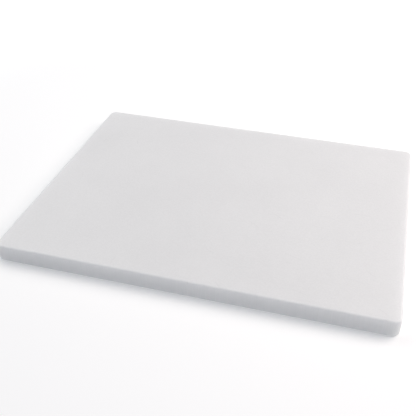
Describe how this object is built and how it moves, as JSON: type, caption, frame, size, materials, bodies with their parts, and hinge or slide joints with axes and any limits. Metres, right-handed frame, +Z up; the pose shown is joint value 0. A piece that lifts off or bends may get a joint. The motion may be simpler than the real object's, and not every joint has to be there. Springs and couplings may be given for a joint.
{
  "type": "cutting board",
  "caption": "Rectangular white polyethylene cutting board for a commercial kitchen: a thick plain slab with rounded corners and rounded-over edges.",
  "frame": {"origin": "middle of the underside, on the surface that the board lies on", "axes": "+X along the long side, +Y from the front long edge to the back one, +Z up, out of the work surface"},
  "size_m": [0.508, 0.381, 0.024],
  "materials": {
    "white_polyethylene": "matte, finely pebbled faces and routed edges"
  },
  "bodies": {
    "root": {"board": "white_polyethylene"}
  },
  "joints": []
}
